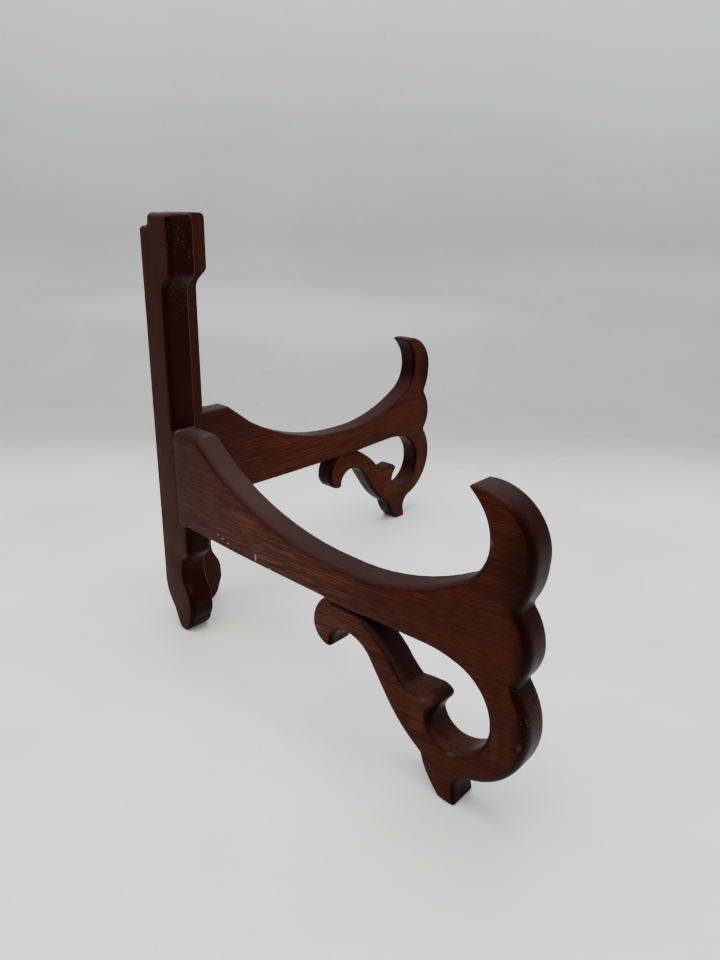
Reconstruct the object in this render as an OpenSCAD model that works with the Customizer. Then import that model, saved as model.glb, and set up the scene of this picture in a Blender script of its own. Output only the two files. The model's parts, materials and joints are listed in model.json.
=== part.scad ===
// Folding plate stand: two fretwork wooden halves, each a post with a scrolled arm, hinged at the back.
// Millimetres, +Z up. The arms reach towards -Y, the left half is on -X, and z = 0 is the surface
// that the stand rests on. The origin is the middle of the stand's footprint as it rests open.

/* [Stand] */
// Height of the posts
stand_h = 254; // [220:1:300]
// Thickness of the boards
board_t = 16; // [14:0.5:20]
// Angle between the two halves as the stand rests
opening = 90; // [70:1:110]
// Gap between the inner faces when the stand is folded shut
closed_gap = 0.3; // [0.3:0.1:1]

/* [Hinges] */
// Height of the lower hinge's middle, as a share of the stand's height
lower_hinge_at = 0.25; // [0.23:0.01:0.3]
// Height of the upper hinge's middle, as a share of the stand's height
upper_hinge_at = 0.84; // [0.7:0.01:0.88]
// Height of each hinge
hinge_h = 25; // [20:1:32]
// Width of a leaf, from the pin's axis to its free edge
leaf_w = 9.6; // [8:0.1:11]
// Thickness of a leaf
leaf_t = 1; // [0.8:0.1:1.2]
// Radius of the pin
pin_r = 0.8; // [0.6:0.05:0.9]
// Outer radius of the knuckles
knuckle_r = 1.7; // [1.6:0.05:1.8]
// Distance from the pin's axis to the posts' back faces
pin_setback = 1; // [1:0.1:1.3]

/* [Screws] */
// Radius of a screw's shank
screw_r = 1; // [0.8:0.05:1.2]
// Radius of a screw's countersunk head
screw_head_r = 1.9; // [1.6:0.05:2.1]
// Length of a screw, head included
screw_len = 9; // [7:0.5:11]
// Distance from the hinge's middle up and down to its screws
screw_spread = 8; // [6:0.5:9]

/* [Dowels] */
// Radius of the dowels that hold an arm to its post
dowel_r = 4; // [3:0.5:4.5]
// Length of a dowel
dowel_len = 29.6; // [24:0.2:30]
// How much further a dowel reaches into its arm than into its post, halved
dowel_shift = 3; // [1:0.5:4]
// Height of the lower dowel, as a share of the stand's height
lower_dowel_at = 0.354; // [0.34:0.002:0.37]
// Height of the upper dowel, as a share of the stand's height
upper_dowel_at = 0.472; // [0.45:0.002:0.48]

/* [Hidden] */

$fn = 48;
eps = 0.01;

// The outlines are drawn for a stand of this height and scaled to stand_h.
drawn_h = 254;
pattern = stand_h / drawn_h;
// Furthest forward that an arm reaches, and where arm and post meet, from the posts' back faces
arm_reach = 262.5;
joint_at = 19.5;
// Largest turn between two neighbouring points of a curve, in degrees
curve_step = 4;

half_open = opening / 2;
inner_face = closed_gap / 2;
outer_face = inner_face + board_t;
mid_board = inner_face + board_t / 2;
// The pin's axis, placed so that the footprint's middle is at the origin
footprint_front = (pin_setback + arm_reach * pattern) * cos(half_open) - inner_face * sin(half_open);
footprint_back = outer_face * sin(half_open) - pin_setback * cos(half_open);
axis_y = (footprint_front - footprint_back) / 2;

lower_hinge_z = lower_hinge_at * stand_h;
upper_hinge_z = upper_hinge_at * stand_h;
// Free space between knuckles, around them, and around a pin that turns
knuckle_gap = 0.3;
barrel_clearance = 0.4;
pin_clearance = 0.05;
mortise_clearance = 0.1;
leaf_start = knuckle_r + 0.2;
tab_start = 0.4;
knuckle_share = hinge_h / 3;
// Screws stand halfway across the flat of a leaf.
screw_at = (leaf_start + leaf_w) / 2;
screw_clearance = 0.05;
head_depth = 0.9;
slot_w = 0.5;
slot_depth = 0.55;
screw_tip_len = 1.6;
screw_tip_r = 0.2;
pilot_extra = 0.2;
dowel_clearance = 0.03;
dowel_end_gap = 0.2;
dowel_chamfer = 0.8;
// Where a dowel's post end lies, from the pin's axis
dowel_start = pin_setback + joint_at * pattern + dowel_shift - dowel_len / 2;

// Colours of the stained wood, the dowels' plain wood and the brass
stained_wood = [0.36, 0.2, 0.17];
plain_wood = [0.76, 0.6, 0.42];
brass = [0.72, 0.58, 0.3];

// Each outline is a list of corners [forward from the post's back, up, bow]. The bow is how far the
// stretch to the next corner bulges to the right of its way: outwards, as the corners run anticlockwise.
post_outline = [
    // back face and rounded foot
    [0, 244.4, 0], [0, 36, 2], [6.5, 12, 0.4], [13.5, 0.7, 0.2], [15, 0, 0], [19, 0, 1.5],
    // foot's front, neck and shoulder
    [26, 9.5, 1], [27.8, 20, 0.7], [25.6, 29.5, 0], [22.2, 35.2, -1.6], [22.6, 50.5, 0],
    [26.3, 54.6, 0.5], [27.8, 58.5, 0], [27.8, 75, 0],
    // shaft, where the arm is joined on
    [joint_at, 75, 0], [joint_at, 210.5, -0.9],
    // head and its stepped back corner
    [22.3, 217.4, 0], [25.6, 220.4, 0.7], [27.5, 224.5, 0], [27.5, 251, 0.87], [24.5, 254, 0],
    [9.6, 254, 0.87], [6.6, 251, 0], [6.6, 250.6, -0.9], [4, 247.4, 0], [2.4, 247, 0.7]
];
arm_outline = [
    // straight underside
    [joint_at, 75, 0],
    // curl that hangs from the underside
    [144, 75, 2.2], [135.6, 60, 3.4], [146.6, 48.2, 0.4], [149.4, 49.4, -3.6],
    // arch and the back of the foot
    [161, 61.6, -2], [175.2, 53.2, 0], [187, 36.7, 1.5], [208.3, 17.8, 1.6], [219.4, 1.4, 0.6],
    [223.4, 0, 0], [229.8, 0, 0.5], [230.8, 2, -0.2], [229.8, 7.4, -2.3],
    // three lobes of the front
    [237, 18.6, 6.9], [arm_reach, 53, 2.1], [254.2, 75.8, -0.3], [254.5, 78.2, 1], [259, 91.5, 1.8],
    [251.9, 110.4, -0.3], [252.1, 113.2, 1.1], [256.2, 130, 8.6],
    // hook and the hollow that the plate's rim rests in
    [230, 159.1, 0.1], [225, 158.8, 0.4], [224.2, 157.6, -2.3], [234.7, 138, -4], [222.5, 115, -5.4],
    // long dip of the top, up to the flat beside the post
    [152, 96.1, -6.8], [59, 120.8, 0], [42.5, 133.4, 0.5], [39, 134.6, 0], [joint_at, 134.6, 0]
];
// The hole inside the scroll, with the thumb that points into it. Here a negative bow cuts into the hole.
scroll_hole = [
    [150.6, 74.6, -0.3], [170.4, 74, -0.8], [189.4, 60.4, 0.5], [198.8, 51.3, -0.2], [210.7, 53, -0.9],
    [217, 50, -0.3], [216.4, 47.2, 0.6], [212.9, 39.7, 2.8], [225, 30.3, 6.1], [243.5, 52, 5.2],
    [223.6, 75.1, 0.5], [209, 76.9, 0.1]
];

// Points along the stretch from corner p to corner q, q left out: a straight line, or an arc of the
// given bow. A chord from the arc's start turns half as fast as the arc does.
function stretch(p, q) =
    let (
        run = q[0] - p[0],
        rise = q[1] - p[1],
        chord = norm([run, rise]),
        turn = 4 * atan(2 * p[2] / chord),
        steps = max(1, ceil(abs(turn) / curve_step)),
        radius = turn == 0 ? 0 : chord / (2 * sin(turn / 2)),
        start = atan2(rise, run) - turn / 2
    )
    [for (i = [0:steps - 1])
        let (half = turn * i / steps / 2, reach = 2 * radius * sin(half))
        [p[0] + reach * cos(start + half), p[1] + reach * sin(start + half)]];

function outline_points(corners) =
    [for (i = [0:len(corners) - 1]) each stretch(corners[i], corners[(i + 1) % len(corners)])];

module outline(corners) {
    scale([pattern, pattern]) polygon(outline_points(corners));
}

// Places the right half: x forward from the pin's axis, y out from the plane where the halves meet.
module on_right() {
    translate([0, axis_y, 0]) rotate([0, 0, half_open - 90]) children();
}

module on_left() {
    mirror([1, 0, 0]) on_right() children();
}

// A board of the given outline, standing upright behind its inner face.
module board(corners) {
    translate([pin_setback, outer_face, 0]) rotate([90, 0, 0]) linear_extrude(board_t) outline(corners);
}

// A cylinder that runs forward from the plane x = from, at height z and distance y from the inner plane.
module forward_cylinder(from, length, y, z, r1, r2) {
    translate([from, y, z]) rotate([0, 90, 0]) cylinder(h = length, r1 = r1, r2 = r2);
}

// Holes for the two dowels, across the joint between post and arm.
module dowel_holes() {
    hole_r = dowel_r + dowel_clearance;
    for (at = [lower_dowel_at, upper_dowel_at])
        forward_cylinder(dowel_start - dowel_end_gap, dowel_len + 2 * dowel_end_gap, mid_board,
            at * stand_h, hole_r, hole_r);
}

// Recess for a leaf, room for the barrel, and pilot holes for the screws.
module hinge_recess(z) {
    recess_h = hinge_h + 2 * mortise_clearance;
    translate([0, -eps, z - recess_h / 2])
        cube([pin_setback + leaf_t, leaf_w + mortise_clearance + eps, recess_h]);
    translate([0, 0, z - hinge_h / 2 - barrel_clearance])
        cylinder(r = knuckle_r + barrel_clearance, h = hinge_h + 2 * barrel_clearance);
    for (side = [-1, 1])
        forward_cylinder(pin_setback, screw_len + pilot_extra, screw_at, z + side * screw_spread,
            screw_r + screw_clearance, screw_r + screw_clearance);
}

module post() {
    difference() {
        board(post_outline);
        dowel_holes();
        hinge_recess(lower_hinge_z);
        hinge_recess(upper_hinge_z);
    }
}

module arm() {
    difference() {
        board(arm_outline);
        translate([pin_setback, outer_face + 1, 0]) rotate([90, 0, 0])
            linear_extrude(board_t + 2) outline(scroll_hole);
        dowel_holes();
    }
}

module dowel(at) {
    z = at * stand_h;
    end_r = dowel_r - dowel_chamfer;
    straight = dowel_len - 2 * dowel_chamfer;
    forward_cylinder(dowel_start, dowel_chamfer, mid_board, z, end_r, dowel_r);
    forward_cylinder(dowel_start + dowel_chamfer, straight, mid_board, z, dowel_r, dowel_r);
    forward_cylinder(dowel_start + dowel_chamfer + straight, dowel_chamfer, mid_board, z, dowel_r, end_r);
}

// One knuckle with the tab that joins it to its leaf, from height low to height high over the hinge's foot.
module knuckle(low, high) {
    translate([0, 0, low]) cylinder(r = knuckle_r, h = high - low);
    translate([pin_setback, tab_start, low]) cube([leaf_t, leaf_start - tab_start + eps, high - low]);
}

// A leaf whose knuckles take the given spans of the hinge's height, bored to bore_r for the pin.
module leaf(z, spans, bore_r) {
    translate([0, 0, z - hinge_h / 2]) difference() {
        union() {
            translate([pin_setback, leaf_start, 0]) cube([leaf_t, leaf_w - leaf_start, hinge_h]);
            for (span = spans) knuckle(span[0], span[1]);
        }
        translate([0, 0, -1]) cylinder(r = bore_r, h = hinge_h + 2);
        for (side = [-1, 1]) {
            hole_z = hinge_h / 2 + side * screw_spread;
            hole_r = screw_r + screw_clearance;
            forward_cylinder(pin_setback - eps, leaf_t + 2 * eps, screw_at, hole_z, hole_r, hole_r);
            forward_cylinder(pin_setback - eps, head_depth, screw_at, hole_z,
                screw_head_r + screw_clearance, hole_r);
        }
    }
}

// The left leaves hold the pin tight in their two outer knuckles.
module left_leaf(z) {
    leaf(z, [[0, knuckle_share - knuckle_gap / 2], [2 * knuckle_share + knuckle_gap / 2, hinge_h]], pin_r);
}

// The right leaves turn on the pin with their middle knuckle.
module right_leaf(z) {
    leaf(z, [[knuckle_share + knuckle_gap / 2, 2 * knuckle_share - knuckle_gap / 2]],
        pin_r + pin_clearance);
}

module pin(z) {
    translate([0, axis_y, z - hinge_h / 2]) cylinder(r = pin_r, h = hinge_h);
}

// A countersunk wood screw with a slotted head, its head flush with the leaf.
module screw(z) {
    shank_len = screw_len - head_depth - screw_tip_len;
    difference() {
        union() {
            forward_cylinder(pin_setback, head_depth, screw_at, z, screw_head_r, screw_r);
            forward_cylinder(pin_setback + head_depth, shank_len, screw_at, z, screw_r, screw_r);
            forward_cylinder(pin_setback + head_depth + shank_len, screw_tip_len, screw_at, z,
                screw_r, screw_tip_r);
        }
        translate([pin_setback - 1, screw_at - slot_w / 2, z - screw_head_r - 1])
            cube([1 + slot_depth, slot_w, 2 * screw_head_r + 2]);
    }
}

module screw_pair(z) {
    for (side = [-1, 1]) screw(z + side * screw_spread);
}

module left_post() { color(stained_wood) on_left() post(); }
module left_arm() { color(stained_wood) on_left() arm(); }
module left_lower_dowel() { color(plain_wood) on_left() dowel(lower_dowel_at); }
module left_upper_dowel() { color(plain_wood) on_left() dowel(upper_dowel_at); }
module right_post() { color(stained_wood) on_right() post(); }
module right_arm() { color(stained_wood) on_right() arm(); }
module right_lower_dowel() { color(plain_wood) on_right() dowel(lower_dowel_at); }
module right_upper_dowel() { color(plain_wood) on_right() dowel(upper_dowel_at); }
module lower_hinge_left_leaf() { color(brass) on_left() left_leaf(lower_hinge_z); }
module lower_hinge_right_leaf() { color(brass) on_right() right_leaf(lower_hinge_z); }
module lower_hinge_pin() { color(brass) pin(lower_hinge_z); }
module upper_hinge_left_leaf() { color(brass) on_left() left_leaf(upper_hinge_z); }
module upper_hinge_right_leaf() { color(brass) on_right() right_leaf(upper_hinge_z); }
module upper_hinge_pin() { color(brass) pin(upper_hinge_z); }
module lower_left_screws() { color(brass) on_left() screw_pair(lower_hinge_z); }
module lower_right_screws() { color(brass) on_right() screw_pair(lower_hinge_z); }
module upper_left_screws() { color(brass) on_left() screw_pair(upper_hinge_z); }
module upper_right_screws() { color(brass) on_right() screw_pair(upper_hinge_z); }

left_post();
left_arm();
left_lower_dowel();
left_upper_dowel();
right_post();
right_arm();
right_lower_dowel();
right_upper_dowel();
lower_hinge_left_leaf();
lower_hinge_right_leaf();
lower_hinge_pin();
upper_hinge_left_leaf();
upper_hinge_right_leaf();
upper_hinge_pin();
lower_left_screws();
lower_right_screws();
upper_left_screws();
upper_right_screws();
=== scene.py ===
"""Looks of the folding plate stand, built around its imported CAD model. Metres, in the frame's axes.

The two boards of a half, its post and its arm, are rebuilt with their rounded-over edges from the
outlines of the CAD boards. The hinges, screws and dowels are the CAD's own, with better materials.
"""

import json
import math

import bpy
import numpy as np
from mathutils import Matrix, Vector, geometry, noise


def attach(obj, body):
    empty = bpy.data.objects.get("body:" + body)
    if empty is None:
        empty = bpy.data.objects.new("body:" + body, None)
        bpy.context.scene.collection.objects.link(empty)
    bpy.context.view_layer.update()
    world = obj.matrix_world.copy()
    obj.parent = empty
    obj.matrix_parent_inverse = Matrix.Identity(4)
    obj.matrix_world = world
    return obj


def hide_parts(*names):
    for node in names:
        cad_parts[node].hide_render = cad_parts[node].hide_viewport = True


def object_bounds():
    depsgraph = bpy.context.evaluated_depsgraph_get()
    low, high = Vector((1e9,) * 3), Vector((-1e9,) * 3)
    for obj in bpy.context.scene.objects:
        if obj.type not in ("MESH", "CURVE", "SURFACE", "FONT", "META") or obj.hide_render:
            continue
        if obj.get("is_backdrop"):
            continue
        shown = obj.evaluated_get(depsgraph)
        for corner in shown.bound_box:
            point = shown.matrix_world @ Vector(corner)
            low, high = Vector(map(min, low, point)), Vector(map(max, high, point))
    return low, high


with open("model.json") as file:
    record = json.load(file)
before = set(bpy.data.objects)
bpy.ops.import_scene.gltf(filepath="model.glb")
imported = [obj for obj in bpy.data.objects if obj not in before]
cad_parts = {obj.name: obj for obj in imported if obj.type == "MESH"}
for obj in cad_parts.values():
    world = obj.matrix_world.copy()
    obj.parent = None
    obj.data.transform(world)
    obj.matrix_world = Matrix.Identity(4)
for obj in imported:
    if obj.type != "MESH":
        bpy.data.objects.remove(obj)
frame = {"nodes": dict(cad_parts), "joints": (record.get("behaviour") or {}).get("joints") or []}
cad_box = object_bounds()

MM = 0.001
HALF_OPEN = math.radians(45)
SIDES = {"left": -1, "right": 1}

# ---------------------------------------------------------------- board space
# Board space is the right half's own: x forward from the hinge pins, y out from the plane where the
# halves meet, z up, in millimetres. The left half is its mirror image.


def half_frame(side):
    """Matrix from board space in millimetres to the row frame in metres, for a half at rest."""
    pin = Vector(frame["joints"][0]["pos_m"])
    forward = (side * math.sin(HALF_OPEN), -math.cos(HALF_OPEN), 0)
    outward = (side * math.cos(HALF_OPEN), math.sin(HALF_OPEN), 0)
    axes = Matrix((forward, outward, (0, 0, 1))).transposed().to_4x4()
    return Matrix.Translation((pin.x, pin.y, 0)) @ axes @ Matrix.Scale(MM, 4)


RIGHT_TO_BOARD = half_frame(1).inverted()


def board_points(node):
    """Vertices of one of the right half's CAD nodes, in board space."""
    return np.array([RIGHT_TO_BOARD @ v.co for v in frame["nodes"][node].data.vertices])


def face_loops(node):
    """Closed loops of (forward, up) points round a CAD board's outer face, with the wood on their left."""
    co = board_points(node)
    outer = co[:, 1].max()
    merged = {}
    ids = [merged.setdefault(tuple(np.round(p, 3)), i) for i, p in enumerate(co)]
    follows = {}
    for poly in frame["nodes"][node].data.polygons:
        if co[list(poly.vertices), 1].min() > outer - 0.01:
            ring = [ids[v] for v in poly.vertices]
            for a, b in zip(ring, ring[1:] + ring[:1]):
                if follows.get(a, set()) and b in follows[a]:
                    follows[a].remove(b)
                else:
                    follows.setdefault(b, set()).add(a)
    loops = []
    while any(follows.values()):
        start = next(v for v, after in follows.items() if after)
        loop = [start]
        while follows[loop[-1]]:
            loop.append(follows[loop[-1]].pop())
        loops.append(co[loop[:-1]][:, [0, 2]])
    return loops


def refined(loop, corners, longest=1.2):
    """The loop with every stretch cut to at most the given length, and the given corners made part of it."""
    out = []
    for a, b in zip(loop, np.roll(loop, -1, axis=0)):
        run = b - a
        length = np.linalg.norm(run)
        at = (corners - a) @ run / length**2
        off = np.linalg.norm(corners - a - at[:, None] * run, axis=1)
        stops = [0, *sorted(at[(off < 0.01) & (at > 0.001) & (at < 0.999)]), 1]
        for low, high in zip(stops, stops[1:]):
            steps = max(1, math.ceil((high - low) * length / longest))
            out += [a + run * (low + (high - low) * i / steps) for i in range(steps)]
    return np.array(out)


def segments(loops):
    """Start and end points of the loops' stretches."""
    starts = np.concatenate(loops)
    ends = np.concatenate([np.roll(loop, -1, axis=0) for loop in loops])
    return starts, ends


def distances(points, starts, ends):
    """Distance of each point to each stretch, and how far along the stretch its nearest point is."""
    run = ends - starts
    away = points[:, None, :] - starts[None]
    along = np.clip((away * run).sum(2) / (run**2).sum(1), 0, 1)
    return np.linalg.norm(away - along[..., None] * run, axis=2), along


def in_pieces(rule, points, size=400):
    """rule(points), worked out for a few points at a time to spare memory."""
    return np.concatenate([rule(points[i : i + size]) for i in range(0, len(points), size)])


def inside(points, loops):
    """Whether each point is within the loops, holes left out."""
    starts, ends = segments(loops)

    def crossings(p):
        above = (starts[None, :, 1] > p[:, None, 1]) != (ends[None, :, 1] > p[:, None, 1])
        rise = ends[:, 1] - starts[:, 1]
        rise[rise == 0] = 1
        cut = starts[:, 0] + (p[:, None, 1] - starts[:, 1]) / rise * (ends[:, 0] - starts[:, 0])
        return (above & (cut > p[:, None, 0])).sum(1) % 2 == 1

    return in_pieces(crossings, points)


# ---------------------------------------------------------------- rounded edges
JOINT_RADIUS = 0.22
# Radius of the rounded-over edges on each face of each board
EDGE = {
    ("post", "outer"): 3.6,
    ("post", "inner"): 0.8,
    ("arm", "outer"): 3.6,
    ("arm", "inner"): 2.6,
}
# Places where a file took off more or less: forward, up, reach forward, reach up, radius
SPOTS = [
    (1, 127, 4, 400, 1.2),
    (85, 75, 60, 3, 1.4),
    (258, 75, 9, 50, 4.6),
    (208, 51, 9, 9, 6.0),
    (227, 158, 12, 12, 1.6),
    (160, 75, 14, 14, 1.3),
    (149, 50, 6, 6, 2.2),
    (228, 1, 9, 9, 1.2),
    (18, 1, 9, 9, 1.2),
]
SHARES = [1 - math.cos(math.radians(a)) for a in (18, 36, 54, 72, 90)]


def edge_radius(points, board, face):
    """Radius of the rounded edge at each point of an outline, with the unevenness of handwork."""
    radius = np.full(len(points), EDGE[board, face])
    for x, z, reach_x, reach_z, spot in SPOTS:
        near = np.exp(-(((points[:, 0] - x) / reach_x) ** 2) - ((points[:, 1] - z) / reach_z) ** 2)
        target = min(spot, EDGE[board, face]) if face == "inner" else spot
        radius += (target - radius) * near
    phase = 0 if face == "outer" else 40
    wander = [noise.noise((p[0] * 0.03, p[1] * 0.03, phase)) for p in points]
    return radius * (1 + 0.1 * np.array(wander))


class Half:
    """Outlines of a half's post and arm, which lie in one plane, and the edges that get rounded."""

    def __init__(self):
        raw = {name: face_loops(f"right_{name}") for name in ("post", "arm")}
        corners = {name: np.concatenate(loops) for name, loops in raw.items()}
        other = {"post": "arm", "arm": "post"}
        self.loops = {n: [refined(p, corners[other[n]]) for p in raw[n]] for n in raw}
        self.free, self.joint = {}, {}
        for n in raw:
            starts, ends = segments(self.loops[n])
            rivals = segments(self.loops[other[n]])
            gap = in_pieces(lambda p: distances(p, *rivals)[0].min(1), (starts + ends) / 2)
            self.free[n] = (starts[gap > 0.02], ends[gap > 0.02])
            self.joint[n] = (starts[gap <= 0.02], ends[gap <= 0.02])

    def edges(self, name, face):
        """Stretches that are rounded on a face, with the radii at their two ends."""
        parts = [(*self.free[n], n) for n in ("post", "arm")]
        starts = np.concatenate([p[0] for p in parts] + [self.joint[name][0]])
        ends = np.concatenate([p[1] for p in parts] + [self.joint[name][1]])
        fixed = np.full(len(self.joint[name][0]), JOINT_RADIUS)
        first = np.concatenate([edge_radius(p[0], p[2], face) for p in parts] + [fixed])
        last = np.concatenate([edge_radius(p[1], p[2], face) for p in parts] + [fixed])
        return starts, ends, first, last


def cut_back(points, edges):
    """How far the rounded edges take each point of a face back towards the board's middle."""
    starts, ends, first, last = edges

    def rule(p):
        gap, along = distances(p, starts, ends)
        radius = first + along * (last - first)
        short = np.clip(radius - gap, 0, None)
        return (radius - np.sqrt(radius**2 - short**2)).max(1)

    return in_pieces(rule, points)


def ring_points(edges):
    """Points on rings inside the outline, where the slope of a rounded edge is sampled."""
    starts, ends, _, last = edges
    run = (ends - starts) / np.linalg.norm(ends - starts, axis=1)[:, None]
    normal = np.stack([-run[:, 1], run[:, 0]], axis=1)
    index = {tuple(np.round(p, 2)): i for i, p in enumerate(starts)}
    rings = []
    for i, end in enumerate(ends):
        j = index.get(tuple(np.round(end, 2)), i)
        turn = math.atan2(run[i, 0] * run[j, 1] - run[i, 1] * run[j, 0], run[i] @ run[j])
        middle = normal[i] + normal[j]
        middle /= np.linalg.norm(middle)
        if abs(turn) < math.radians(14):
            ways = [middle]
        elif turn > 0:
            ways = [normal[i], normal[j], middle / math.cos(turn / 2)]
        else:
            fan = math.ceil(-turn / math.radians(14))
            angles = [math.atan2(normal[i, 1], normal[i, 0]) + turn * k / fan for k in range(fan + 1)]
            ways = [np.array([math.cos(a), math.sin(a)]) for a in angles]
        for share in SHARES:
            rings += [(*(end + way * share * last[i]), share * last[i]) for way in ways]
    return np.array(rings)


def left_of(faces, rim):
    """The faces on the left of the rim's directed edges, found by spreading from there."""
    owner = {(f[i - 1], f[i]): f for f in faces for i in range(3)}
    kept, todo = set(), [owner[edge] for edge in rim]
    while todo:
        face = todo.pop()
        if face not in kept:
            kept.add(face)
            sides = [(face[i - 1], face[i]) for i in range(3)]
            todo += [owner[b, a] for a, b in sides if (a, b) not in rim]
    return sorted(kept)


def face_mesh(loops, edges):
    """(points, triangles, outline indices) of a face: outline, rings inside it and a plain net."""
    outline = np.concatenate(loops)
    rings = ring_points(edges)
    net_step = 3.5
    low, high = outline.min(0), outline.max(0)
    columns, rows = ((high - low) / net_step).astype(int) + 2
    net = np.array(
        [
            (low[0] + (i + 0.5 * (j % 2)) * net_step, low[1] + j * net_step)
            for i in range(columns)
            for j in range(rows)
        ]
    )
    wanted = np.concatenate([rings[:, 2] - 0.02, np.full(len(net), edges[2].max() + 0.8)])
    points = np.concatenate([rings[:, :2], net])
    rounded = (edges[0], edges[1])
    gap = in_pieces(lambda p: distances(p, *rounded)[0].min(1), points)
    border = segments(loops)
    clear = in_pieces(lambda p: distances(p, *border)[0].min(1), points)
    points = points[(gap >= wanted) & (clear > 0.02) & inside(points, loops)]
    keys = np.unique(np.round(points, 2), axis=0)
    everything = [Vector(p) for p in outline] + [Vector(p) for p in keys]
    links, first = [], 0
    for loop in loops:
        links += [(first + i, first + (i + 1) % len(loop)) for i in range(len(loop))]
        first += len(loop)
    verts, _, faces, origin, _, _ = geometry.delaunay_2d_cdt(everything, links, [], 0, 1e-4)
    place = {source: i for i, sources in enumerate(origin) for source in sources}
    kept = left_of([tuple(f) for f in faces], {(place[a], place[b]) for a, b in links})
    return np.array([tuple(v) for v in verts]), np.array(kept), [place[i] for i in range(len(outline))]


def board_mesh(half, name):
    """A board with rounded-over edges on both faces, in board space."""
    thick = board_points(f"right_{name}")[:, 1]
    loops = half.loops[name]
    verts, faces, rims = [], [], []
    for face, level, inwards in (("outer", thick.max(), -1), ("inner", thick.min(), 1)):
        edges = half.edges(name, face)
        points, triangles, outline = face_mesh(loops, edges)
        depth = cut_back(points, edges)
        rims.append([len(verts) + i for i in outline])
        order = triangles[:, ::-1] if face == "outer" else triangles
        faces += [tuple(int(v) + len(verts) for v in f) for f in order]
        verts += [(p[0], level + inwards * d, p[1]) for p, d in zip(points, depth)]
    first, wall_steps = 0, 4
    for loop in loops:
        columns = []
        for i in range(first, first + len(loop)):
            top, bottom = Vector(verts[rims[0][i]]), Vector(verts[rims[1][i]])
            columns.append([rims[0][i]] + [len(verts) + k for k in range(wall_steps - 1)] + [rims[1][i]])
            verts += [tuple(top.lerp(bottom, k / wall_steps)) for k in range(1, wall_steps)]
        for here, there in zip(columns, columns[1:] + columns[:1]):
            for k in range(wall_steps):
                faces.append((here[k], there[k], there[k + 1], here[k + 1]))
        first += len(loop)
    mesh = bpy.data.meshes.new(name)
    mesh.from_pydata(verts, [], faces)
    mesh.validate()
    return mesh


# ---------------------------------------------------------------- cutting the boards
def cylinder_mesh(radius, start, end, sides=48):
    """A closed cylinder between two points of board space."""
    start, end = Vector(start), Vector(end)
    turn = (end - start).to_track_quat("Z", "Y")
    ring = [Vector((math.cos(a), math.sin(a), 0)) * radius for a in np.arange(sides) * math.tau / sides]
    verts = [tuple(centre + turn @ p) for centre in (start, end) for p in ring]
    faces = [(i, (i + 1) % sides, sides + (i + 1) % sides, sides + i) for i in range(sides)]
    faces += [tuple(reversed(range(sides))), tuple(range(sides, 2 * sides))]
    return verts, faces


def box_mesh(low, high):
    """A closed box between two corners of board space."""
    x, y, z = zip(low, high)
    verts = [(x[i & 1], y[i >> 1 & 1], z[i >> 2]) for i in range(8)]
    faces = [(0, 2, 3, 1), (4, 5, 7, 6), (0, 1, 5, 4), (2, 6, 7, 3), (0, 4, 6, 2), (1, 3, 7, 5)]
    return verts, faces


def cut(mesh, cutters):
    """The mesh with each cutter's solid taken out of it."""
    piece = bpy.data.objects.new("cut_work", mesh)
    bpy.context.scene.collection.objects.link(piece)
    for verts, faces in cutters:
        tool_mesh = bpy.data.meshes.new("cutter")
        tool_mesh.from_pydata(verts, [], faces)
        tool = bpy.data.objects.new("cutter", tool_mesh)
        bpy.context.scene.collection.objects.link(tool)
        modifier = piece.modifiers.new("cut", "BOOLEAN")
        modifier.operation, modifier.solver, modifier.object = "DIFFERENCE", "EXACT", tool
        graph = bpy.context.evaluated_depsgraph_get()
        piece.data = bpy.data.meshes.new_from_object(piece.evaluated_get(graph))
        piece.modifiers.clear()
        bpy.data.objects.remove(tool)
    mesh = piece.data
    bpy.data.objects.remove(piece)
    return mesh


def span(node):
    """Lowest and highest corner of one of the right half's CAD nodes, in board space."""
    co = board_points(node)
    return Vector(co.min(0)), Vector(co.max(0))


def dowel_cutters():
    """Holes for the dowels, a little larger than they are."""
    slack = 0.03
    for name in ("right_lower_dowel", "right_upper_dowel"):
        low, high = span(name)
        middle = (low + high) / 2
        radius = (high.z - low.z) / 2 + slack
        yield cylinder_mesh(radius, (low.x - 0.2, *middle.yz), (high.x + 0.2, *middle.yz))


def hinge_cutters():
    """Mortises for the hinges' leaves and barrels, and pilot holes for their screws."""
    slack, barrel_room, pilot = 0.1, 0.4, 1.05
    for level in ("lower", "upper"):
        low, high = span(f"{level}_hinge_right_leaf")
        yield box_mesh((-1, -1, low.z - slack), (high.x, high.y + slack, high.z + slack))
        ends = (low.z - barrel_room, high.z + barrel_room)
        yield cylinder_mesh(-low.x + barrel_room, (0, 0, ends[0]), (0, 0, ends[1]))
        screws_low, screws_high = span(f"{level}_right_screws")
        head = (screws_high.y - screws_low.y) / 2
        for z in (screws_low.z + head, screws_high.z - head):
            across = (screws_low.y + screws_high.y) / 2
            yield cylinder_mesh(pilot, (0, across, z), (screws_high.x + slack, across, z), 24)


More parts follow.
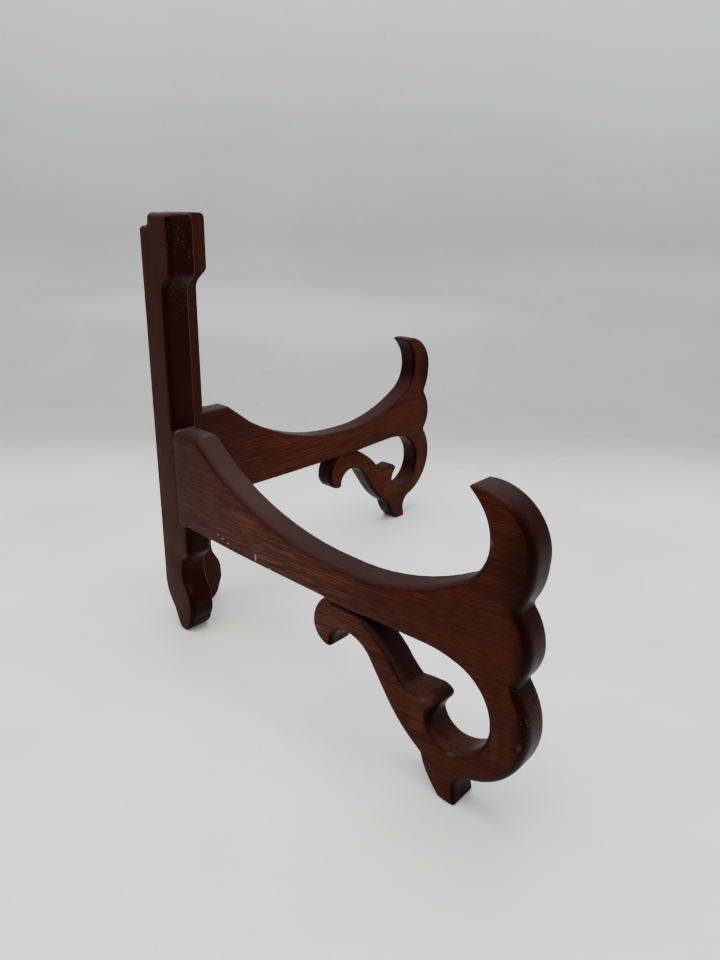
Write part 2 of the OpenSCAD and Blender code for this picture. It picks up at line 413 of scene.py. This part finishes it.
# ---------------------------------------------------------------- materials
class Nodes:
    """Short ways to add and link the nodes of one material."""

    def __init__(self, name):
        self.material = bpy.data.materials.new(name)
        self.material.use_nodes = True
        self.tree = self.material.node_tree
        self.shader = self.tree.nodes["Principled BSDF"]
        self.coords = self.add("ShaderNodeTexCoord").outputs

    def add(self, kind, **settings):
        node = self.tree.nodes.new(kind)
        for key, value in settings.items():
            setattr(node, key, value)
        return node

    def put(self, socket, value):
        """Links a socket to an output, or gives it a plain value."""
        if isinstance(value, bpy.types.NodeSocket):
            self.tree.links.new(value, socket)
        else:
            socket.default_value = value

    def math(self, operation, *values):
        node = self.add("ShaderNodeMath", operation=operation)
        for socket, value in zip(node.inputs, values):
            self.put(socket, value)
        return node.outputs[0]

    def vector(self, operation, *values):
        node = self.add("ShaderNodeVectorMath", operation=operation)
        for socket, value in zip(node.inputs, values):
            self.put(socket, value)
        return node.outputs["Value" if operation == "DOT_PRODUCT" else "Vector"]

    def noise(self, vector, scale, detail=2, roughness=0.5):
        node = self.add("ShaderNodeTexNoise")
        settings = (vector, scale, detail, roughness)
        for key, value in zip(("Vector", "Scale", "Detail", "Roughness"), settings):
            self.put(node.inputs[key], value)
        return node.outputs["Fac"]

    def ramp(self, value, low, high, out_low=0, out_high=1, kind="SMOOTHSTEP"):
        node = self.add("ShaderNodeMapRange", interpolation_type=kind, clamp=True)
        for key, v in zip(
            ("Value", "From Min", "From Max", "To Min", "To Max"), (value, low, high, out_low, out_high)
        ):
            self.put(node.inputs[key], v)
        return node.outputs["Result"]

    def mix(self, share, first, second):
        node = self.add("ShaderNodeMix", data_type="RGBA")
        for key, value in zip((0, 6, 7), (share, first, second)):
            self.put(node.inputs[key], value)
        return node.outputs[2]

    def bump(self, height, distance, strength=1, normal=None):
        node = self.add("ShaderNodeBump")
        self.put(node.inputs["Height"], height)
        self.put(node.inputs["Distance"], distance)
        self.put(node.inputs["Strength"], strength)
        if normal:
            self.put(node.inputs["Normal"], normal)
        return node.outputs[0]


def colour(red, green, blue):
    return (red, green, blue, 1)


def board_space(n, side):
    """Forward, outward and up in board space, in millimetres, for the half on that side."""
    pin = frame["joints"][0]["pos_m"][1] * math.sin(HALF_OPEN) / MM
    turn = math.pi / 2 - HALF_OPEN if side > 0 else math.pi / 2 + HALF_OPEN
    flat = n.add("ShaderNodeMapping")
    n.put(flat.inputs["Vector"], n.coords["Object"])
    flat.inputs["Scale"].default_value = (1 / MM, 1 / MM, 1 / MM)
    flat.inputs["Rotation"].default_value = (0, 0, turn)
    flat.inputs["Location"].default_value = (pin, -side * pin, 0)
    parts = n.add("ShaderNodeSeparateXYZ")
    n.put(parts.inputs[0], flat.outputs[0])
    return parts.outputs


def joined(n, *values):
    node = n.add("ShaderNodeCombineXYZ")
    for socket, value in zip(node.inputs, values):
        n.put(socket, value)
    return node.outputs[0]


def grain_space(n, place, board, seed):
    """Millimetres along the grain and across it, twice. An arm's grain climbs a little towards its front."""
    forward, out, up = place
    if board == "post":
        along = joined(n, up, forward, out)
    else:
        past = n.math("MAXIMUM", n.math("SUBTRACT", forward, 60), 0)
        climb = n.math("MULTIPLY", n.math("MULTIPLY", past, past), 0.0004)
        along = joined(n, forward, n.math("SUBTRACT", up, climb), out)
    return n.vector("ADD", along, (seed, seed * 1.7, seed * 0.6))


def stretched(n, space, along, across):
    return n.vector("MULTIPLY", space, (along, across, across))


# Linear colours of each board: sanded face, its warm figure, its dark lines, the rounded band with its
# painted shade, the edge
PALETTES = {
    "post": (
        colour(0.0255, 0.0070, 0.0056),
        colour(0.0300, 0.0082, 0.0060),
        colour(0.0155, 0.0037, 0.0036),
        colour(0.0046, 0.0004, 0.0005),
        colour(0.0100, 0.0014, 0.0016),
    ),
    "arm": (
        colour(0.0350, 0.0062, 0.0021),
        colour(0.0465, 0.0097, 0.0031),
        colour(0.0125, 0.0018, 0.0010),
        colour(0.0042, 0.0004, 0.0004),
        colour(0.0115, 0.0022, 0.0024),
    ),
}
# Painted sheen of the overhead light on up-facing edges: dim further out on the arms, dusty near the post,
# and on the rounded arrises
DIM_TOP_SHEEN = colour(0.0175, 0.0060, 0.0063)
DUSTY_TOP_SHEEN = colour(0.030, 0.0165, 0.0165)
TOP_ARRIS_SHEEN = colour(0.026, 0.0095, 0.0085)
SCUFFED = colour(0.042, 0.0145, 0.009)
# Pale raw wood, also used as a painted highlight down the left post's inner front
RUBBED = colour(0.090, 0.027, 0.011)
RAW_WOOD_AND_GLINT = colour(0.13, 0.075, 0.052)
DUST = colour(0.30, 0.25, 0.21)
CHIPPED = colour(0.32, 0.27, 0.23)
# For the left half (-1) and the right (1): the dry middle of the arm and how far it and the seam show
DRY = {-1: colour(0.120, 0.046, 0.031), 1: colour(0.130, 0.036, 0.018)}
DRY_SHARE = {-1: 0.8, 1: 0.4}
SEAM_SHARE = {-1: 0.45, 1: 0.15}

# Marks on the arms, each given as forward, up, half width, half height: darkening along the front of the hook
# and the lobes, scuffs inside the scroll's eye, rubbed places, and chips along the left arm's underside. A
# mark runs through the board's thickness, so the chips show on both of the left arm's faces.
FRONT_DARKENING = [(257, 128, 16, 30), (260, 94, 8, 20), (264, 55, 8, 26), (254, 112, 8, 5), (256, 77, 6, 4)]
SCUFFS = [(228, 36, 16, 14), (208, 48, 9, 8)]
WEAR = [(249, 44, 2, 9), (203, 50, 12, 5), (207, 36, 5, 8)]
CHIPS = [
    (60, 81.5, 0.7, 0.5),
    (64, 80.6, 1.0, 0.5),
    (69, 79.2, 0.9, 0.5),
    (93, 79, 0.9, 2.2),
    (105, 76.5, 1.2, 0.6),
]


def spots(n, place, marks, full=0.5):
    """1 within any of the marks (forward, up, half width, half height) on a board's face, 0 elsewhere."""
    forward, _, up = place
    total = 0
    for x, z, wide, high in marks:
        across = n.math("DIVIDE", n.math("SUBTRACT", forward, x), wide)
        above = n.math("DIVIDE", n.math("SUBTRACT", up, z), high)
        away = n.math("ADD", n.math("MULTIPLY", across, across), n.math("MULTIPLY", above, above))
        total = n.math("MAXIMUM", n.ramp(away, 1.2, full), total)
    return total


def arm_marks(n, side, place, fibre, face, shaded_band):
    """An arm's face, darker towards its front, with a dry middle, rubbed places, and its back end like the
    post.
    """
    forward = place[0]
    # Darkens the face towards the dark band colour along the front of the hook and the lobes
    face = n.mix(n.math("MULTIPLY", spots(n, place, FRONT_DARKENING, 0), 0.85), face, shaded_band)
    middle = n.ramp(forward, 205, 120, 0.1, DRY_SHARE[side])
    dry = n.math("MULTIPLY", n.ramp(fibre, 0.51, 0.38, 0.1, 1), middle)
    face = n.mix(dry, face, DRY[side])
    rubbed = n.math("MULTIPLY", spots(n, place, WEAR), n.ramp(fibre, 0.60, 0.42, 0, 0.4))
    face = n.mix(rubbed, face, RUBBED)
    stained = n.mix(0.3, PALETTES["post"][0], face)
    return n.mix(n.ramp(forward, 95, 25, 0, 0.9), face, stained)


def sanded_face(n, side, board, place, figure, fibre, pore):
    """Colour of a board's flat faces, and how strongly its open pores show."""
    mid, warm, deep, shaded_band, _ = PALETTES[board]
    face = n.mix(n.ramp(figure, 0.36, 0.64), mid, warm)
    lines = n.math("MULTIPLY", n.ramp(fibre, 0.44, 0.62), n.ramp(figure, 0.3, 0.7, 1, 0.6))
    strength = n.ramp(place[0], 170, 230, 1, 0.75) if board == "arm" else 0.25
    face = n.mix(n.math("MULTIPLY", lines, strength), face, deep)
    pores = n.ramp(pore, 0.54, 0.64, 0, 0.9 if board == "arm" else 0.2)
    face = n.mix(pores, face, deep)
    if board == "arm":
        face = arm_marks(n, side, place, fibre, face, shaded_band)
    return face, pores


def rounded_edges(n, board, place, space, rim, top):
    """Colour of a board's edges: dark sides, and tops with a painted sheen from the overhead light, which on
    the arms is dimmer away from the post, dusty near it, and scuffed.
    """
    _, _, _, shaded_band, edge = PALETTES[board]
    # The rounded band between face and edge gets the dark band colour, a painted shade standing in for a
    # roundover's dark reflection
    sides = n.mix(rim, edge, shaded_band)
    if board == "post":
        return n.mix(top, sides, n.mix(rim, edge, TOP_ARRIS_SHEEN))
    # On the arms' tops the painted sheen is dimmer further from the post and mixed with dust near it
    top_sheen_and_dust = n.mix(n.ramp(place[0], 150, 60), DIM_TOP_SHEEN, DUSTY_TOP_SHEEN)
    patches = n.ramp(n.noise(space, 0.5, 4, 0.6), 0.35, 0.62, 0.3, 1)
    scuffed = n.math("MULTIPLY", spots(n, place, SCUFFS, 0.1), patches)
    return n.mix(top, sides, n.mix(scuffed, n.mix(rim, top_sheen_and_dust, TOP_ARRIS_SHEEN), SCUFFED))


def worn_through_and_glint(n, side, board, place, space, facing, pore):
    """How far raw wood shows: on a few arrises and on the arm's seam, and down the left post's inner front,
    where it is worn wood and a painted highlight.
    """
    forward, out, up = place
    arris = n.math("MULTIPLY", n.ramp(facing, 0.80, 0.92), n.ramp(facing, 0.998, 0.97))
    rub = n.math("MULTIPLY", n.ramp(n.noise(space, 0.05, 3, 0.6), 0.60, 0.70), n.ramp(pore, 0.4, 0.6))
    wear_and_glint = n.math("MULTIPLY", arris, n.math("MULTIPLY", rub, 0.5))
    # Down the left post's inner front arris: worn wood and a painted highlight
    if board == "post" and side < 0:
        inner = n.ramp(n.math("ABSOLUTE", out), 1.3, 0.9)
        inner_front = n.math("MULTIPLY", inner, n.ramp(forward, 15, 19))
        corner = n.math("MULTIPLY", n.ramp(facing, 0.35, 0.6), n.ramp(facing, 0.995, 0.95))
        patchy = n.ramp(n.noise(space, 0.12, 3, 0.6), 0.35, 0.6, 0.4, 1)
        line = n.math("MULTIPLY", n.math("MULTIPLY", inner_front, corner), patchy)
        wear_and_glint = n.math("MAXIMUM", wear_and_glint, line)
    if board == "arm":
        seam = n.math("MULTIPLY", n.ramp(forward, 23.4, 22.4), n.ramp(up, 133.2, 134.2))
        wear_and_glint = n.math("MAXIMUM", wear_and_glint, n.math("MULTIPLY", seam, SEAM_SHARE[side]))
    return wear_and_glint


def dust_specks(n, board, place, space, flat):
    """Where specks of dust lie: on the arms' lobes and the posts' heads, off their flat faces."""
    forward, _, up = place
    cells = n.add("ShaderNodeTexVoronoi", feature="F1")
    n.put(cells.inputs["Vector"], space)
    cells.inputs["Scale"].default_value = 0.75
    cells.inputs["Randomness"].default_value = 1
    speck = n.ramp(cells.outputs["Distance"], 0.17, 0.10)
    if board == "post":
        where = n.ramp(up, 185, 215)
    else:
        where = n.math("MULTIPLY", n.ramp(forward, 236, 248), n.ramp(up, 82, 66, 0.25, 1))
    thin = n.ramp(n.noise(space, 0.09, 2), 0.40, 0.60)
    off_face = n.math("MULTIPLY", thin, n.math("SUBTRACT", 1, flat))
    return n.math("MULTIPLY", n.math("MULTIPLY", speck, where), off_face)


def wood(name, side, board, seed):
    """Dark red-brown stained hardwood under a thin satin varnish, worn and dusty in places."""
    n = Nodes(name)
    deep = PALETTES[board][2]
    place = board_space(n, side)
    space = grain_space(n, place, board, seed)
    sway = n.noise(stretched(n, space, 0.008, 0.03), 1, 2)
    swayed = n.vector("ADD", space, n.vector("MULTIPLY", (0, 5, 5), n.math("SUBTRACT", sway, 0.5)))
    figure = n.noise(stretched(n, swayed, 0.007, 0.16), 1, 3, 0.55)
    fibre = n.noise(stretched(n, swayed, 0.032, 2.1), 1, 4, 0.7)
    pore = n.noise(stretched(n, swayed, 0.12, 3.2), 1, 2, 0.6)
    blotch = n.noise(space, 0.02, 2)

    # facing is 1 on the boards' flat faces, less round their rounded edges, 0 on the edges themselves
    outward = (side * math.cos(HALF_OPEN), math.sin(HALF_OPEN), 0)
    facing = n.math("ABSOLUTE", n.vector("DOT_PRODUCT", n.coords["Normal"], outward))
    flat = n.ramp(facing, 0.86, 0.99)
    # rim is 1 on the rounded bands, which get the painted shade, and 0 on the edges themselves
    rim = n.ramp(facing, 0.05, 0.35)
    normal = n.add("ShaderNodeSeparateXYZ")
    n.put(normal.inputs[0], n.coords["Normal"])
    # top marks the up-facing surfaces, which get a painted sheen in place of the side colours
    top = n.math("MULTIPLY", n.ramp(normal.outputs[2], 0.2, 0.6), n.ramp(place[0], 252, 238))

    face, pores = sanded_face(n, side, board, place, figure, fibre, pore)
    body = n.mix(flat, rounded_edges(n, board, place, space, rim, top), face)
    body = n.mix(n.ramp(blotch, 0.35, 0.7, 0, 0.3), body, n.mix(0.6, body, deep))
    wear_and_glint = worn_through_and_glint(n, side, board, place, space, facing, pore)
    # Raw wood where worn, and a painted highlight on the left post's inner front
    body = n.mix(wear_and_glint, body, RAW_WOOD_AND_GLINT)
    dust = dust_specks(n, board, place, space, flat)
    body = n.mix(n.math("MULTIPLY", dust, 0.5), body, DUST)
    if side < 0 and board == "arm":
        body = n.mix(n.math("MULTIPLY", spots(n, place, CHIPS), 0.5), body, CHIPPED)
    n.put(n.shader.inputs["Base Color"], body)

    patchy = n.noise(space, 0.06, 3)
    rough = n.ramp(patchy, 0.3, 0.7, 0.36, 0.46, "LINEAR")
    rough = n.math("ADD", rough, n.math("MULTIPLY", flat, 0.10))
    rough = n.math("ADD", rough, n.math("MULTIPLY", n.math("MAXIMUM", pores, wear_and_glint), 0.15))
    n.put(n.shader.inputs["Roughness"], rough)
    n.shader.inputs["Specular IOR Level"].default_value = 0.06
    n.shader.inputs["Specular Tint"].default_value = colour(1, 0.42, 0.34)
    relief = n.math("SUBTRACT", n.math("MULTIPLY", fibre, 0.3), n.math("MULTIPLY", pores, 0.5))
    fine = n.bump(relief, 0.0001)
    handwork = n.noise(space, 0.045, 2)
    n.put(n.shader.inputs["Normal"], n.bump(handwork, 0.0008, 0.5, fine))
    return n.material


def plain_wood(name):
    """Unfinished beech with short dark flecks."""
    n = Nodes(name)
    space = grain_space(n, board_space(n, 1), "arm", 5)
    streak = n.noise(stretched(n, space, 0.03, 0.9), 1, 3)
    fleck = n.noise(stretched(n, space, 0.25, 2.5), 1, 2)
    tone = n.mix(n.ramp(streak, 0.3, 0.7), colour(0.50, 0.33, 0.18), colour(0.66, 0.48, 0.29))
    flecked = n.mix(n.ramp(fleck, 0.6, 0.7, 0, 0.6), tone, colour(0.3, 0.17, 0.08))
    n.put(n.shader.inputs["Base Color"], flecked)
    n.put(n.shader.inputs["Roughness"], n.ramp(streak, 0.3, 0.7, 0.6, 0.75, "LINEAR"))
    n.put(n.shader.inputs["Normal"], n.bump(streak, 0.0001))
    return n.material


def brass(name, clean, dull):
    """Satin brass, tarnished in patches and finely scratched."""
    n = Nodes(name)
    metre = n.coords["Object"]
    tarnish = n.noise(metre, 160, 5, 0.55)
    scratch = n.noise(n.vector("MULTIPLY", metre, (6000, 6000, 500)), 1, 3)
    n.put(n.shader.inputs["Base Color"], n.mix(n.ramp(tarnish, 0.40, 0.72), clean, dull))
    n.shader.inputs["Metallic"].default_value = 1
    rough = n.math("ADD", n.ramp(tarnish, 0.35, 0.7, 0.26, 0.48, "LINEAR"), n.math("MULTIPLY", scratch, 0.08))
    n.put(n.shader.inputs["Roughness"], rough)
    n.put(n.shader.inputs["Normal"], n.bump(scratch, 0.00001))
    return n.material


# ---------------------------------------------------------------- the stand
half = Half()
cutters = {"post": [*dowel_cutters(), *hinge_cutters()], "arm": [*dowel_cutters()]}
seeds = {("left", "post"): 11, ("left", "arm"): 64, ("right", "post"): 137, ("right", "arm"): 205}
for board in ("post", "arm"):
    shape = cut(board_mesh(half, board), cutters[board])
    for side, sign in SIDES.items():
        mesh = shape.copy()
        mesh.transform(half_frame(sign))
        if sign < 0:
            mesh.flip_normals()
        mesh.shade_smooth()
        mesh.set_sharp_from_angle(angle=math.radians(33))
        piece = bpy.data.objects.new(f"{side}_{board}_wood", mesh)
        bpy.context.scene.collection.objects.link(piece)
        look = wood(f"{side}_{board}_rosewood", sign, board, seeds[side, board])
        mesh.materials.clear()
        mesh.materials.append(look)
        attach(piece, f"{side}_half")
        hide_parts(f"{side}_{board}")

looks = {
    "dowel": plain_wood("dowel_beech"),
    "hinge": brass("hinge_brass", colour(0.56, 0.42, 0.21), colour(0.40, 0.28, 0.14)),
    "screws": brass("screw_brass", colour(0.40, 0.29, 0.15), colour(0.26, 0.18, 0.09)),
}
for node, piece in frame["nodes"].items():
    for kind, look in looks.items():
        if kind in node:
            piece.data.materials.clear()
            piece.data.materials.append(look)
    if "leaf" in node:
        eased = piece.modifiers.new("eased edges", "BEVEL")
        eased.width, eased.segments, eased.limit_method = 0.00012, 2, "ANGLE"
        eased.angle_limit = math.radians(50)


# ---------------------------------------------------------------- surroundings
def stage_sweep():
    """A pale paper sweep: a floor that curves up into a backdrop beyond the stand, as the camera sees it,
    with painted shade beyond the stand and painted light up the backdrop.
    """
    bend_from, bend, width, height, front = 0.55, 0.22, 5.0, 2.6, -4.0
    profile = [(front, 0), (bend_from, 0)]
    turns = np.radians(np.arange(6, 91, 6))
    profile += [(bend_from + bend * math.sin(a), bend * (1 - math.cos(a))) for a in turns]
    profile.append((bend_from + bend, height))
    verts = [(x, y, z) for x, z in profile for y in (-width, width)]
    faces = [(2 * i, 2 * i + 2, 2 * i + 3, 2 * i + 1) for i in range(len(profile) - 1)]
    mesh = bpy.data.meshes.new("sweep")
    mesh.from_pydata(verts, [], faces)
    mesh.shade_smooth()
    sweep = bpy.data.objects.new("sweep", mesh)
    bpy.context.scene.collection.objects.link(sweep)
    n = Nodes("pale_paper_shaded")
    cloud = n.noise(n.coords["Object"], 7, 4)
    grit = n.noise(n.coords["Object"], 240, 2)
    tone = n.mix(n.ramp(cloud, 0.25, 0.75), colour(0.68, 0.68, 0.66), colour(0.80, 0.80, 0.785))
    away = n.add("ShaderNodeSeparateXYZ")
    n.put(away.inputs[0], n.coords["Object"])
    # Painted shade: the paper darkens from a little way behind the stand
    tone = n.mix(n.ramp(away.outputs[0], 0.20, 0.42, 0, 0.75), tone, colour(0.27, 0.272, 0.27))
    # Painted light: the paper pales again going up the backdrop
    tone = n.mix(n.ramp(away.outputs[2], 0.14, 1.15), tone, colour(0.80, 0.815, 0.84))
    gritty = n.mix(n.ramp(grit, 0.60, 0.75, 0, 0.15), tone, colour(0.45, 0.45, 0.42))
    n.put(n.shader.inputs["Base Color"], gritty)
    n.put(n.shader.inputs["Roughness"], n.ramp(cloud, 0.3, 0.7, 0.22, 0.34, "LINEAR"))
    n.shader.inputs["Specular IOR Level"].default_value = 0.4
    mesh.materials.append(n.material)
    sweep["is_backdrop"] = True


def area_light(name, place, target, size, power):
    data = bpy.data.lights.new(name, "AREA")
    data.shape, data.size, data.size_y = "RECTANGLE", *size
    data.energy = power
    lamp = bpy.data.objects.new(name, data)
    lamp.location = place
    lamp.rotation_euler = (Vector(target) - Vector(place)).to_track_quat("-Z", "Y").to_euler()
    bpy.context.scene.collection.objects.link(lamp)


def camera():
    """The camera stands to the left of the stand and looks along +X, tilted down and slightly rolled."""
    focal_to_height = 0.750625
    heading, pitch, roll = math.radians(-3.077), math.radians(-20.758), math.radians(1.625)
    ahead = Vector(
        (math.cos(pitch) * math.cos(heading), math.cos(pitch) * math.sin(heading), math.sin(pitch))
    )
    right = ahead.cross(Vector((0, 0, 1))).normalized()
    up = right.cross(ahead)
    rolled_right = right * math.cos(roll) + up * math.sin(roll)
    rolled_up = up * math.cos(roll) - right * math.sin(roll)
    data = bpy.data.cameras.new("camera")
    data.sensor_fit = "VERTICAL"
    data.sensor_height = 24
    data.lens = data.sensor_height * focal_to_height
    data.clip_start = 0.01
    view = bpy.data.objects.new("camera", data)
    axes = Matrix((rolled_right, rolled_up, -ahead)).transposed().to_4x4()
    pin = Vector(frame["joints"][0]["pos_m"])
    view.matrix_world = Matrix.Translation((pin.x - 0.4318, pin.y - 0.0912, 0.2595)) @ axes
    bpy.context.scene.collection.objects.link(view)
    bpy.context.scene.camera = view


def studio_world():
    """An even pale surround."""
    world = bpy.data.worlds.new("studio")
    world.use_nodes = True
    background = world.node_tree.nodes["Background"]
    background.inputs["Color"].default_value = colour(0.95, 0.98, 1.0)
    background.inputs["Strength"].default_value = 0.6
    bpy.context.scene.world = world


stage_sweep()
area_light("top_softbox", (-0.15, 0.15, 1.5), (-0.05, 0, 0), (1.2, 1.4), 36)
area_light("left_softbox", (-0.3, 1.6, 0.9), (0, 0, 0.1), (1.2, 1.2), 4)
area_light("right_softbox", (-1.1, -1.4, 1.0), (0, 0, 0.1), (1.0, 1.0), 14)
studio_world()
camera()

visual_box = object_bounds()
boxes = {"cad": cad_box, "visual": visual_box}
{name: [list(corner) for corner in box] for name, box in boxes.items()}
